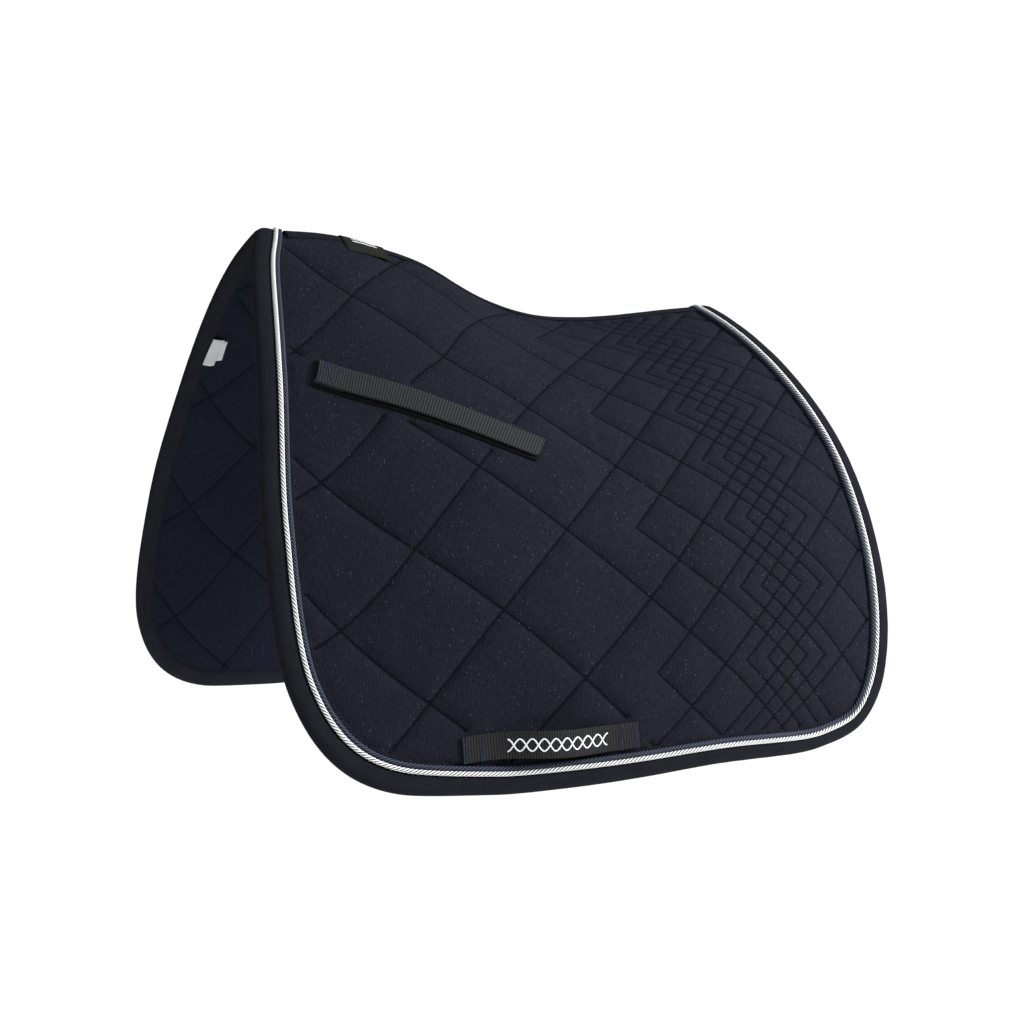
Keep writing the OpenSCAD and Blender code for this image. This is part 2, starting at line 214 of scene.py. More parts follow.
EDGE = curve(np.linspace(0, len(OUTLINE) - 1, EDGE_POINTS))
EDGE_IN = inward_of(EDGE)
EDGE_LONG = np.concatenate([
    [[EDGE[0, 0], -OVERRUN_STEP * k] for k in range(OVERRUN, 0, -1)], EDGE,
    [[EDGE[-1, 0], -OVERRUN_STEP * k] for k in range(1, OVERRUN + 1)]])
EDGE_LONG_IN = np.concatenate([[[1, 0]] * OVERRUN, EDGE_IN, [[-1, 0]] * OVERRUN])
EDGE_TREE = KDTree(len(EDGE_LONG))
for index, point in enumerate(EDGE_LONG):
    EDGE_TREE.insert((point[0], point[1], 0), index)
EDGE_TREE.balance()


def inset_line(distance, spacing):
    """Places at that distance inside the outline, evenly spaced along it on the cloth."""
    p = EDGE + distance * EDGE_IN
    p[:, 1] = np.maximum(p[:, 1], 0)
    run = running(lay(RIGHT, p[:, 0], p[:, 1]) / MM)
    at = np.linspace(0, run[-1], int(round(run[-1] / spacing)) + 1)
    return read_at(at, run, p)


def edge_distance(x, t):
    """Distance inside the outline, and the inward direction there."""
    flat = np.stack([x.ravel(), t.ravel()], 1)
    near = np.array([EDGE_TREE.find((p[0], p[1], 0))[1] for p in flat])
    n = EDGE_LONG_IN[near]
    d = ((flat - EDGE_LONG[near]) * n).sum(1)
    return d.reshape(x.shape), n.reshape(x.shape + (2,))


# ---- Smooth noise ----


def hashed(i, j, seed):
    h = np.sin(i * 127.1 + j * 311.7 + seed * 74.7) * 43758.5453
    return h - np.floor(h)


def noise(u, v, seed):
    """Smooth value noise from -1 to 1."""
    i, j = np.floor(u), np.floor(v)
    f, g = u - i, v - j
    f, g = f * f * (3 - 2 * f), g * g * (3 - 2 * g)
    top = hashed(i, j, seed) * (1 - f) + hashed(i + 1, j, seed) * f
    low = hashed(i, j + 1, seed) * (1 - f) + hashed(i + 1, j + 1, seed) * f
    return 2 * (top * (1 - g) + low * g) - 1


def uneven(u, v, height, long, wide, seed):
    """Noise of that height, with bumps that long and that wide."""
    return height * noise(u / long, v / wide, seed)


# ---- Quilting ----

CELL = 63.5  # half the diagonal of a quilting square
STEPS = 36  # grid cells to one side of a square
HALF = STEPS // 2
GRID_MM = CELL * math.sqrt(2) / STEPS
UNITS = 10  # squares to one side of the grid
SHIFT_X = [-260, -130, 0, 130, 260]
SHIFT = np.polyfit(SHIFT_X, [83.8, 98.0, 74.9, 76.3, 79.5], 4)
START = {LEFT: (181.5, 0.0), RIGHT: (185.2, 303.9)}  # where the lattice's origin is
CORNER = {LEFT: (-2, -5), RIGHT: (-4, -7)}  # first square of the grid
FINE_FROM = 3  # a - b at which the fine pattern starts
NEST_ROW, NEST_REACH = 5, 16  # a - b of the nested squares, and how many go either way
SPRING = 7.5  # distance over which the wadding swells from a seam
SWEEPS = 260
COVER_SINK, LINING_SINK = 3.9, 1.9
PIPING_IN = 25.0  # the piping's inner edge
BINDING_W = 16.0
STRAP_FROM = -0.03  # where the strap's base begins
SEWN_LEVEL, EDGE_LEVEL = 0.86, 0.9  # under the strap; beside the binding and the tapes
HOLD = 4.0  # as much as a node's four neighbours
TUCK_OFF, TUCK_HALF, TUCK_LEVEL = 1.5, 1.2, 0.45  # the dip just inside the binding
PUCKER_H, PUCKER_REACH = 0.3, 7
PUCKERS, PUCKER_ROW = 13, 5.0  # to a square's side, and the step in the noise between seams
# Bumps, here and below: height, length, width and seed.
WADDING_BUMPS, SOFT_BUMPS, SMALL_BUMPS = (0.16, 55, 55, 3), (0.35, 26, 34, 5), (0.2, 11, 17, 6)
FREE_FROM = 3  # distance from a seam over which the cloth gets free to wrinkle

# Where the near flap's seams are pulled off their lattice: x, t, half lengths and how far down.
PULLS = [
    (-225, 45, 45, 40, -28), (-185, 120, 60, 110, -6), (-115, 165, 35, 45, 9),
    (-120, 30, 45, 40, -5),
]
# Soft folds in the near flap's outer cotton: from, to, half width, height.
FOLDS = [
    ((-49, 240), (-53, 303), 4.5, 0.8), ((-5, 213), (-7, 265), 4, 0.7),
    ((44, 230), (45, 289), 4, 0.7), ((1, 159), (-1, 221), 4.5, 0.6),
    ((61, 225), (55, 272), 3.5, 0.6), ((-30, 262), (-22, 300), 3.5, 0.5),
]


def place(side, a, b):
    """The seams' lattice: a counts the seams of one direction and b those of the other."""
    x = CELL * (a - b) - START[side][0]
    t = CELL * (a + b) + START[side][1] + np.polyval(SHIFT, x)
    pulled = 0
    for x0, t0, wide, tall, amount in PULLS if side == LEFT else []:
        pulled = pulled + amount * np.exp(-(((x - x0) / wide) ** 2) - ((t - t0) / tall) ** 2)
    return x, t + pulled


def steps_to(mask, axis):
    """Number of grid cells to the nearest marked node along an axis."""
    m = np.moveaxis(mask, axis, 0)
    index = np.arange(m.shape[0])[:, None]
    before = np.maximum.accumulate(np.where(m, index, -999), 0)
    after = np.minimum.accumulate(np.where(m, index, 9999)[::-1], 0)[::-1]
    return np.moveaxis(np.minimum(index - before, after - index), 0, axis)


def seam_marks(ia, jb):
    """Grid nodes on the seams where a stays the same, and on those where b does."""
    fine = ia - jb >= FINE_FROM * STEPS
    seam_a = (ia % STEPS == 0) | ((ia % STEPS == HALF) & fine)
    seam_b = (jb % STEPS == 0) | ((jb % STEPS == HALF) & fine)
    for s in range(-NEST_REACH, NEST_REACH + 1):
        da, db = np.abs(2 * ia - (s + NEST_ROW) * STEPS), np.abs(2 * jb - (s - NEST_ROW) * STEPS)
        for r in (STEPS * 2 // 3, STEPS // 3):
            seam_a |= (da == r) & (db <= r)
            seam_b |= (db == r) & (da <= r)
    return seam_a, seam_b


def held_places(x, t, edge, face, rim):
    """How firmly, and at what level, what is sewn over the cloth or presses on it holds it:
    each has the distance outside it, the reach of its hold and the level."""
    held = [(np.maximum(edge - rim, 0), 1.5, EDGE_LEVEL), (np.maximum(t - 13, 0), 1.5, EDGE_LEVEL)]
    if face == "cover":
        strap = strap_centre(np.linspace(STRAP_FROM, 1, 12))
        loop = loop_centre(np.linspace(0, 1, 8))
        held += [(near_line(x, t, strap, 13.0), 5.0, SEWN_LEVEL),
                 (near_line(x, t, loop[:2], 10.0), 3.0, EDGE_LEVEL),
                 (near_line(x, t, loop[-2:], 10.0), 3.0, EDGE_LEVEL)]
    hold, level = np.zeros(x.shape), np.zeros(x.shape)
    for distance, reach, value in held:
        w = np.exp(-((distance / reach) ** 2)) * HOLD
        level = (level * hold + value * w) / np.maximum(hold + w, 1e-9)
        hold = hold + w
    return hold, level


def swelling(seam, tuck, hold, level, fullness):
    """A membrane on springs, held at 0 in the seams."""
    pull = (GRID_MM / SPRING) ** 2
    f = np.zeros(seam.shape)
    for _ in range(SWEEPS):
        around = np.zeros(seam.shape)
        around[1:-1, 1:-1] = f[2:, 1:-1] + f[:-2, 1:-1] + f[1:-1, 2:] + f[1:-1, :-2]
        f = (around + pull * fullness + hold * level) / (4 + pull + hold)
        f[seam] = 0
        f[tuck] = np.minimum(f[tuck], TUCK_LEVEL)
    return f


def quilt(side, face):
    """The grid of a flap's face: places, swelling from 0 in a seam to 1, seams and the like."""
    a0, b0 = CORNER[side]
    k = np.arange(UNITS * STEPS + 1)
    ia, jb = np.meshgrid(a0 * STEPS + k, b0 * STEPS + k, indexing="ij")
    x, t = place(side, ia / STEPS, jb / STEPS)
    seam_a, seam_b = seam_marks(ia, jb)
    edge, inward = edge_distance(x, t)
    rim = PIPING_IN if face == "cover" else BINDING_W
    hold, level = held_places(x, t, edge, face, rim)
    seam = (seam_a | seam_b) & (hold < 1)
    tuck = np.abs(edge - rim - TUCK_OFF) < TUCK_HALF
    swell = swelling(seam, tuck, hold, level, 1 + uneven(x, t, *WADDING_BUMPS))
    da, db = steps_to(seam_a, 0) * GRID_MM, steps_to(seam_b, 1) * GRID_MM
    free = np.exp(-hold) * (1 - np.exp(-((np.minimum(da, db) / FREE_FROM) ** 2)))
    pucker = 0
    for d, across, other, seed in ((da, jb, ia, 11), (db, ia, jb, 12)):
        own = noise(across / STEPS * PUCKERS, other // HALF * PUCKER_ROW, seed)
        pucker = pucker + PUCKER_H * np.exp(-d / PUCKER_REACH) * own
    soft = uneven(x, t, *SOFT_BUMPS) + uneven(x, t, *SMALL_BUMPS)
    for start, end, width, height in FOLDS if (side, face) == (LEFT, "cover") else []:
        d = near_line(x, t, np.array([start, end], float), 0)
        soft = soft + height * np.exp(-((d / width) ** 2))
    return {
        "x": x, "t": t, "edge": edge, "inward": inward, "swell": swell, "rim": rim,
        "wrinkle": free * (pucker + soft * np.clip(swell * 1.5, 0, 1)),
        "seam_a": seam_a, "seam_b": seam_b,
    }


def flap_grid(q, trim):
    """Grid cells inside the outline, with their outer nodes moved onto its trimmed edge."""
    x, t, edge = q["x"].copy(), q["t"].copy(), q["edge"]
    inside = (edge > trim) & (t > 0)
    cell = inside[:-1, :-1] | inside[1:, :-1] | inside[:-1, 1:] | inside[1:, 1:]
    lack = np.maximum(trim - edge, 0)
    x += lack * q["inward"][..., 0]
    t += lack * q["inward"][..., 1]
    t = np.maximum(t, 0)
    used = np.zeros(x.shape, bool)
    for i, j in ((0, 0), (1, 0), (0, 1), (1, 1)):
        used[i : i + cell.shape[0], j : j + cell.shape[1]] |= cell
    n = np.full(x.shape, -1)
    n[used] = np.arange(used.sum())
    quads = np.stack([n[:-1, :-1], n[1:, :-1], n[1:, 1:], n[:-1, 1:]], -1)[cell]
    return used, x[used], t[used], quads


# ---- Meshes ----

GRAIN = [(0.12, 0.8), (0.5, 1.0), (0.88, 0.8)]  # a stitch's rings: share of length and of radius
GRAIN_FLAT = 0.6  # height of a stitch against its width
GRAIN_POINTS = 14  # three rings of four corners, then the two tips
THREAD_START = 0.3  # before the first stitch


def make_mesh(name, points, faces, material, uv=None, body=None, attributes=None):
    mesh = bpy.data.meshes.new(name)
    faces = faces.tolist() if hasattr(faces, "tolist") else faces
    mesh.from_pydata(np.asarray(points, float).tolist(), [], faces)
    if uv is not None:
        layer = mesh.uv_layers.new(name="cloth")
        loops = np.zeros(len(mesh.loops), int)
        mesh.loops.foreach_get("vertex_index", loops)
        layer.data.foreach_set("uv", np.asarray(uv, np.float32)[loops].ravel())
    for key, values in (attributes or {}).items():
        store = mesh.attributes.new(key, "FLOAT", "POINT")
        store.data.foreach_set("value", np.asarray(values, np.float32))
    mesh.polygons.foreach_set("use_smooth", [True] * len(mesh.polygons))
    mesh.materials.append(material)
    mesh.validate()
    mesh.update()
    obj = bpy.data.objects.new(name, mesh)
    bpy.context.scene.collection.objects.link(obj)
    if body:
        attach(obj, body)
    return obj


def join(name, parts, body):
    """One object from several that share a material."""
    points, faces, n = [], [], 0
    for o in parts:
        m = o.data
        points += [tuple(v.co) for v in m.vertices]
        faces += [[n + v for v in f.vertices] for f in m.polygons]
        n += len(m.vertices)
    material = parts[0].data.materials[0]
    for o in parts:
        bpy.data.objects.remove(o)
    return make_mesh(name, points, faces, material, None, body)


def flip(side, faces):
    return faces if side == RIGHT else faces[:, ::-1]


def rim_of(quads):
    """The edges that only one face uses, each in that face's direction."""
    e = np.concatenate([quads[:, [k, (k + 1) % 4]] for k in range(4)])
    key = np.sort(e, 1)
    _, index, count = np.unique(key, axis=0, return_index=True, return_counts=True)
    return e[index[count == 1]]


def slab(side, outer, inner, quads):
    """A closed solid between two matching sheets."""
    n, rim = len(outer), rim_of(quads)
    wall = np.stack([rim[:, 1], rim[:, 0], rim[:, 0] + n, rim[:, 1] + n], 1)
    faces = np.concatenate([quads, quads[:, ::-1] + n, wall])
    return np.concatenate([outer, inner]), flip(side, faces)


def grid_quads(rows, cols):
    n = np.arange(rows * cols).reshape(rows, cols)
    return np.stack([n[:-1, :-1], n[1:, :-1], n[1:, 1:], n[:-1, 1:]], -1).reshape(-1, 4)


def band(name, side, centre, width, outer, thickness, material, body, across=9, skew=(0, 0)):
    """A flat strip along a line of places. outer is a depth, or a function of the run, the
    place across and the share of the length. skew slants the two ends."""
    step = unit(np.gradient(centre, axis=0))
    normal = np.stack([-step[:, 1], step[:, 0]], 1)
    v = np.linspace(-0.5, 0.5, across)
    w = np.broadcast_to(width, len(centre))
    u = np.linspace(0, 1, len(centre))
    slant = skew[0] * (1 - u) + skew[1] * u
    p = centre[:, None] + (w[:, None] * v)[..., None] * (normal + slant[:, None] * step)[:, None]
    run = running(centre)
    depth = outer(run[:, None], v[None] * w[:, None], u[:, None]) if callable(outer) else outer
    depth = np.broadcast_to(depth, p.shape[:2])
    top = lay(side, p[..., 0], p[..., 1], depth).reshape(-1, 3)
    low = lay(side, p[..., 0], p[..., 1], depth + thickness).reshape(-1, 3)
    points, faces = slab(side, top, low, grid_quads(len(centre), across))
    uv = np.stack(np.broadcast_arrays(run[:, None], v[None] * w[:, None]), -1)
    uv = uv.reshape(-1, 2) / UV_MM
    return make_mesh(name, points, faces, material, np.concatenate([uv, uv]), body)


def ring_solid(name, rings, material, body, uv):
    """A closed loop of closed sections."""
    count, m = rings.shape[:2]
    n = np.arange(count * m).reshape(count, m)
    nxt, turn = np.roll(n, -1, 0), np.roll(n, -1, 1)
    both = np.roll(nxt, -1, 1)
    faces = np.stack([n, nxt, both, turn], -1).reshape(-1, 4)
    return make_mesh(name, rings.reshape(-1, 3), faces, material, uv.reshape(-1, 2), body)


def both_flaps(right_rings):
    """Continues rings on the right flap round the left one, as mirror images."""
    left = right_rings[-2:0:-1] * [1, -1, 1]
    return np.concatenate([right_rings, left])


def grain_faces():
    """Faces of one stitch. Its corners go round each ring in turn."""
    first_tip, last_tip = GRAIN_POINTS - 2, GRAIN_POINTS - 1
    faces = []
    for k in range(4):
        n = (k + 1) % 4
        faces += [[first_tip, n, k], [k, n, 4 + n, 4 + k], [4 + k, 4 + n, 8 + n, 8 + k],
                  [8 + k, 8 + n, last_tip]]
    return faces


def stitches(name, threads, radius, material, body):
    """Short threads between pairs of points, each a grain with its middle on the cloth.
    threads are pairs of arrays, of such pairs and of the cloth's normals there."""
    ends = np.concatenate([p[0] for p in threads])
    normals = np.concatenate([p[1] for p in threads])
    a, b = ends[:, 0], ends[:, 1]
    d = b - a
    up = unit(normals - (normals * d).sum(1)[:, None] * d / (d * d).sum(1)[:, None])
    side = unit(np.cross(d, up))
    rings = []
    for at, size in GRAIN:
        c = a + at * d
        rings.append([c + radius * size * (math.cos(q) * side + GRAIN_FLAT * math.sin(q) * up)
                      for q in (0, math.pi / 2, math.pi, 1.5 * math.pi)])
    corners = np.array(rings).reshape(GRAIN_POINTS - 2, -1, 3)
    points = np.concatenate([corners, a[None], b[None]]).transpose(1, 0, 2)
    faces = [[v + GRAIN_POINTS * s for v in f] for s in range(len(a)) for f in grain_faces()]
    return make_mesh(name, points.reshape(-1, 3), faces, material, None, body)


def thread_along(side, centre, depth, length=2.7, gap=0.9):
    """Stitch ends and normals along a line of places on one flap."""
    depth = np.broadcast_to(depth, len(centre))
    run = running(centre)
    start = np.arange(THREAD_START, run[-1] - length, length + gap)
    ends = []
    for s in (start, start + length):
        at = read_at(s, run, centre)
        ends.append(lay(side, at[:, 0], at[:, 1], np.interp(s, run, depth)))
    middle = read_at(start + length / 2, run, centre)
    return np.stack(ends, 1), outward(middle[:, 0], middle[:, 1]) * [1, side, 1]


# ---- Materials ----


class Paint:
    """Builds a procedural material, one node at a time."""

    def __init__(self, name):
        self.material = bpy.data.materials.new(name)
        self.material.use_nodes = True
        self.tree = self.material.node_tree
        self.shader = self.tree.nodes["Principled BSDF"]

    def set(self, node, sockets):
        for key, value in sockets.items():
            socket = node.inputs[key]
            if isinstance(value, bpy.types.NodeSocket):
                self.tree.links.new(value, socket)
            else:
                socket.default_value = value
        return node

    def node(self, kind, sockets=None, **options):
        n = self.tree.nodes.new("ShaderNode" + kind)
        for key, value in options.items():
            setattr(n, key, value)
        return self.set(n, sockets or {})

    def math(self, op, a, b=0.0, c=0.0, clamp=False):
        return self.node("Math", {0: a, 1: b, 2: c}, operation=op, use_clamp=clamp).outputs[0]

    def scaled(self, vector, by, plus=(0, 0, 0)):
        sockets = {0: vector, 1: by, 2: plus}
        return self.node("VectorMath", sockets, operation="MULTIPLY_ADD").outputs[0]

    @functools.cached_property
    def uv(self):
        """Place on the cloth in millimetres: as a vector, along it and across it."""
        vector = self.scaled(self.node("UVMap", uv_map="cloth").outputs[0], (UV_MM, UV_MM, 0))
        parts = self.node("SeparateXYZ", {0: vector})
        return vector, parts.outputs[0], parts.outputs[1]

    def noise(self, x, y, offset=0.0, detail=2.0, rough=0.5):
        """Noise over the cloth, with x and y bumps to a millimetre along and across it."""
        vector = self.scaled(self.uv[0], (x, y, 0), (offset, offset, offset))
        return self.noise_at(vector, detail, rough)

    def noise_at(self, vector, detail=2.0, rough=0.5):
        sockets = {"Vector": vector, "Scale": 1.0, "Detail": detail, "Roughness": rough}
        return self.node("TexNoise", sockets).outputs[0]

    def wave(self, value, pitch, phase=0.0):
        """A sine from 0 to 1 with that pitch."""
        s = self.math("SINE", self.math("MULTIPLY_ADD", value, 2 * math.pi / pitch, phase))
        return self.math("MULTIPLY_ADD", s, 0.5, 0.5)

    def blend(self, factor, a, b):
        n = self.node("Mix", {0: factor, 6: a, 7: b}, data_type="RGBA")
        return n.outputs[2]

    def range(self, value, low, high, to_low=0.0, to_high=1.0):
        return self.node("MapRange", {0: value, 1: low, 2: high, 3: to_low, 4: to_high}).outputs[0]

    def bump(self, height, distance, strength):
        n = self.node("Bump", {"Height": height, "Distance": distance, "Strength": strength})
        self.set(self.shader, {"Normal": n.outputs[0]})

    def done(self, roughness, specular):
        self.set(self.shader, {"Roughness": roughness, "Specular IOR Level": specular})
        return self.material


def rgb(r, g, b):
    return (r, g, b, 1.0)


SEAM_DARK = 0.9  # how much of the colour in a seam is shade
SEAM_SHADE = 0.2  # the shade's colour against the cloth's darkest
SEAM_DIP = -2.2
# Colour of the painted glints on the cotton's fine flecks.
GLINT_FLECK = rgb(0.16, 0.17, 0.20)


def cotton(name, dark, light, fleck_glint, rib):
    """Ribbed cotton with slubs along the warp, painted shade in its seams and, with a fleck
    strength above 0, fine flecks painted light as glints.
    """
    p = Paint(name)
    _, along_x, down = p.uv
    slub = p.noise(1.05, 0.13, 0.0, 3.0, 0.6)
    weft = p.noise(0.16, 1.15, 9.0, 2.0, 0.6)
    grain = p.noise(1.9, 1.6, 5.0, 1.0, 0.5)
    patch = p.noise(0.012, 0.009, 4.0, 2.0, 0.5)
    ribs = p.wave(p.math("MULTIPLY_ADD", slub, 1.6, along_x), 1.9)
    tone = p.math("MULTIPLY_ADD", ribs, 0.22 * rib, p.range(slub, 0.32, 0.68, 0.0, 0.5))
    tone = p.math("ADD", tone, p.range(weft, 0.35, 0.65, -0.12, 0.22))
    tone = p.math("ADD", tone, p.range(grain, 0.3, 0.7, -0.15, 0.2))
    tone = p.math("MULTIPLY_ADD", patch, 0.3, p.math("SUBTRACT", tone, 0.15), clamp=True)
    colour = p.blend(tone, dark, light)
    # Painted shade in the seams' grooves, from the seam attribute.
    groove = p.node("Attribute", attribute_name="seam").outputs["Fac"]
    line = p.math("MULTIPLY", p.range(groove, 0.3, 0.95), SEAM_DARK)
    colour = p.blend(line, colour, rgb(*[c * SEAM_SHADE for c in dark[:3]]))
    # Fine flecks painted light as glints.
    if fleck_glint:
        dots = p.node("TexVoronoi", {"Vector": p.scaled(p.uv[0], (0.62, 0.34, 0)), "Scale": 1.0})
        pick = p.node("SeparateColor", {0: dots.outputs["Color"]}).outputs[0]
        size = p.range(pick, 0.72, 1.0, 0.0, 0.3)
        dot = p.range(p.math("SUBTRACT", size, dots.outputs["Distance"]), 0.0, 0.12)
        colour = p.blend(p.math("MULTIPLY", dot, fleck_glint), colour, GLINT_FLECK)
    p.set(p.shader, {"Base Color": colour})
    height = p.math("MULTIPLY_ADD", ribs, 0.5 * rib, p.math("MULTIPLY", p.wave(down, 1.05), 0.2))
    height = p.math("MULTIPLY_ADD", slub, 1.2, p.math("MULTIPLY_ADD", grain, 0.5, height))
    height = p.math("MULTIPLY_ADD", p.math("POWER", groove, 2.0), SEAM_DIP, height)
    p.bump(height, 0.0003, 0.7)
    return p.done(0.95, 0.06)


def webbing(name, dark, light, pitch):
    """Ribs across the strap, each of tightly packed threads."""
    p = Paint(name)
    _, run, side = p.uv
    grain = p.noise(0.8, 2.2, 0.0, 2.0, 0.6)
    rib = p.wave(run, pitch)
    thread = p.wave(side, 0.9, 1.0)
    tone = p.math("MULTIPLY_ADD", grain, 0.7, p.math("MULTIPLY", p.math("POWER", rib, 1.5), 0.75))
    tone = p.math("MULTIPLY_ADD", thread, 0.2, p.math("SUBTRACT", tone, 0.3), clamp=True)
    p.set(p.shader, {"Base Color": p.blend(tone, dark, light)})
    p.bump(p.math("MULTIPLY_ADD", rib, 1.0, p.math("MULTIPLY", thread, 0.35)), 0.0004, 0.8)
    return p.done(0.7, 0.15)


def tape(name, dark, light):
    """Plain woven tape with a fine diagonal and small flecks."""
    p = Paint(name)
    _, run, side = p.uv
    grain = p.noise(1.4, 1.1, 0.0, 3.0, 0.7)
    patch = p.noise(0.05, 0.08, 3.0, 2.0, 0.5)
    twill = p.wave(p.math("ADD", run, side), 1.1)
    tone = p.math("MULTIPLY_ADD", grain, 0.6, p.math("MULTIPLY", twill, 0.25))
    tone = p.math("MULTIPLY_ADD", patch, 0.5, p.math("SUBTRACT", tone, 0.3), clamp=True)
    p.set(p.shader, {"Base Color": p.blend(tone, dark, light)})
    p.bump(p.math("MULTIPLY_ADD", twill, 0.5, grain), 0.0002, 0.6)
    return p.done(0.95, 0.06)


def cord_paint(name, dark, light):
    """Twisted cord: fine filaments along each strand, and painted shade in the hollows between the
    strands.
    """
    p = Paint(name)
    hollow = p.node("Attribute", attribute_name="hollow").outputs["Fac"]
    fibre = p.noise(0.8, 6.0, 0.0, 2.0, 0.6)
    # Painted shade in the hollows between the strands, from the hollow attribute.
    tone = p.math("MULTIPLY_ADD", fibre, 0.3, p.range(hollow, 0.05, 0.65, 0.9, -0.25))
    p.set(p.shader, {"Base Color": p.blend(p.math("MINIMUM", tone, 1.0), dark, light)})
    p.bump(fibre, 0.0002, 0.4)
    return p.done(0.6, 0.2)


def thread_paint(name, dark, light):
    p = Paint(name)
    grain = p.noise_at(p.scaled(p.node("TexCoord").outputs["Object"], (900, 900, 900)))
    p.set(p.shader, {"Base Color": p.blend(grain, dark, light)})
    p.bump(grain, 0.0002, 0.3)
    return p.done(0.85, 0.08)


# The cover's cotton gets painted glints on fine flecks; the lining has none.
NAVY = cotton("navy_cotton", rgb(0.0050, 0.0054, 0.0086), rgb(0.0169, 0.0179, 0.0286), 0.35, 1.0)
LINING = cotton("navy_lining", rgb(0.0043, 0.0052, 0.0100), rgb(0.0103, 0.0125, 0.0228), 0.0, 0.4)
TAPE = tape("navy_tape", rgb(0.0055, 0.0057, 0.0082), rgb(0.0172, 0.0179, 0.0242))
# The cords' dark colours are painted shade in the hollows between the strands.
WHITE_CORD = cord_paint("white_cord", rgb(0.03, 0.033, 0.045), rgb(0.93, 0.94, 0.93))
# Its light colour, on the strands' crests, is partly the cord's own navy and partly a painted
# highlight.
NAVY_CORD = cord_paint("navy_cord", rgb(0.0005, 0.0007, 0.0022), rgb(0.047, 0.054, 0.092))
CHARCOAL = webbing("charcoal_webbing", rgb(0.0037, 0.0037, 0.0050), rgb(0.040, 0.0415, 0.047), 2.4)
BLACK_WEB = webbing("black_webbing", rgb(0.0026, 0.0026, 0.0033), rgb(0.0224, 0.0231, 0.0251), 2.3)
BLACK_TAPE = tape("black_tape", rgb(0.0028, 0.0028, 0.0035), rgb(0.0112, 0.0112, 0.0133))
LABEL = tape("black_label", rgb(0.0101, 0.0104, 0.0097), rgb(0.0245, 0.0248, 0.0230))
SATIN = tape("white_satin", rgb(0.3990, 0.4085, 0.4275), rgb(0.6080, 0.6175, 0.6365))
NAVY_THREAD = thread_paint("navy_thread", rgb(0.0030, 0.0035, 0.0070), rgb(0.0120, 0.0135, 0.0250))
BLUE_THREAD = thread_paint("blue_thread", rgb(0.007, 0.010, 0.027), rgb(0.034, 0.052, 0.120))
WHITE_THREAD = thread_paint("white_thread", rgb(0.6, 0.61, 0.63), rgb(0.9, 0.91, 0.93))

# ---- The quilted flaps ----

TRIM = 5.0  # the cloth ends this far inside the binding's edge
LINING_T = 0.9
LINING_WRINKLE = 0.4
TROUGH_DEPTH, TROUGH_AT, TROUGH_HALF = 1.5, 20.6, 4.2  # pressed into the cover by the cords
SEAM_OPEN = 0.3  # a seam gets painted shade only where the swelling is below this
THREAD_LIFT = 0.05
THREAD_T = 15  # the thread shows from here down, below the spine tape
MIN_RUN = 3  # shortest seam that gets thread, in grid cells
QUILTING_R, BINDING_R, SPINE_R = 0.00022, 0.00028, 0.0003  # radii of the threads, in metres
LABEL_R, BOX_R, LOOP_R = 0.00025, 0.00055, 0.00045


def cover_seam(swell):
    return COVER_SINK * (1 - swell)


def lining_seam(swell):
    return PAD_T - LINING_SINK * (1 - swell)


def cover_depth(q):
    trough = TROUGH_DEPTH * np.exp(-(((q["edge"] - TROUGH_AT) / TROUGH_HALF) ** 4))
    return cover_seam(q["swell"]) - q["wrinkle"] + trough


def lining_depth(q):
    return lining_seam(q["swell"]) + LINING_WRINKLE * q["wrinkle"]


def swell_at(q, a, b, side):
    """The swelling between the grid's nodes."""
    last = UNITS * STEPS - 1.001
    i = np.clip((a - CORNER[side][0]) * STEPS, 0, last)
    j = np.clip((b - CORNER[side][1]) * STEPS, 0, last)
    i0, j0 = i.astype(int), j.astype(int)
    f, g, v = i - i0, j - j0, q["swell"]
    return ((v[i0, j0] * (1 - f) + v[i0 + 1, j0] * f) * (1 - g)
            + (v[i0, j0 + 1] * (1 - f) + v[i0 + 1, j0 + 1] * f) * g)


def runs(mask):
    """First and last index of each run of marked nodes along a line."""
    edge = np.diff(np.concatenate([[0], mask.astype(int), [0]]))
    starts, ends = np.where(edge == 1)[0], np.where(edge == -1)[0]
    return [(s, e - 1) for s, e in zip(starts, ends) if e - s > MIN_RUN]


def quilting_thread(side, q, depth_of, lift):
    """Threads along every seam of a flap, for stitches()."""
    found = []
    show = (q["edge"] > q["rim"] + 1) & (q["t"] > THREAD_T)
    fine = 3  # centre-line points to a grid cell
    for mask, axis in ((q["seam_a"], 0), (q["seam_b"], 1)):
        lines = mask & show
        for k in range(lines.shape[axis]):
            line = lines[k] if axis == 0 else lines[:, k]
            for s, e in runs(line):
                m = np.linspace(s, e, (e - s) * fine + 1) / STEPS
                fixed = np.full(m.shape, k / STEPS)
                a = CORNER[side][0] + (fixed if axis == 0 else m)
                b = CORNER[side][1] + (m if axis == 0 else fixed)
                x, t = place(side, a, b)
                depth = depth_of(swell_at(q, a, b, side)) + lift
                found.append(thread_along(side, np.stack([x, t], 1), depth))
    return found


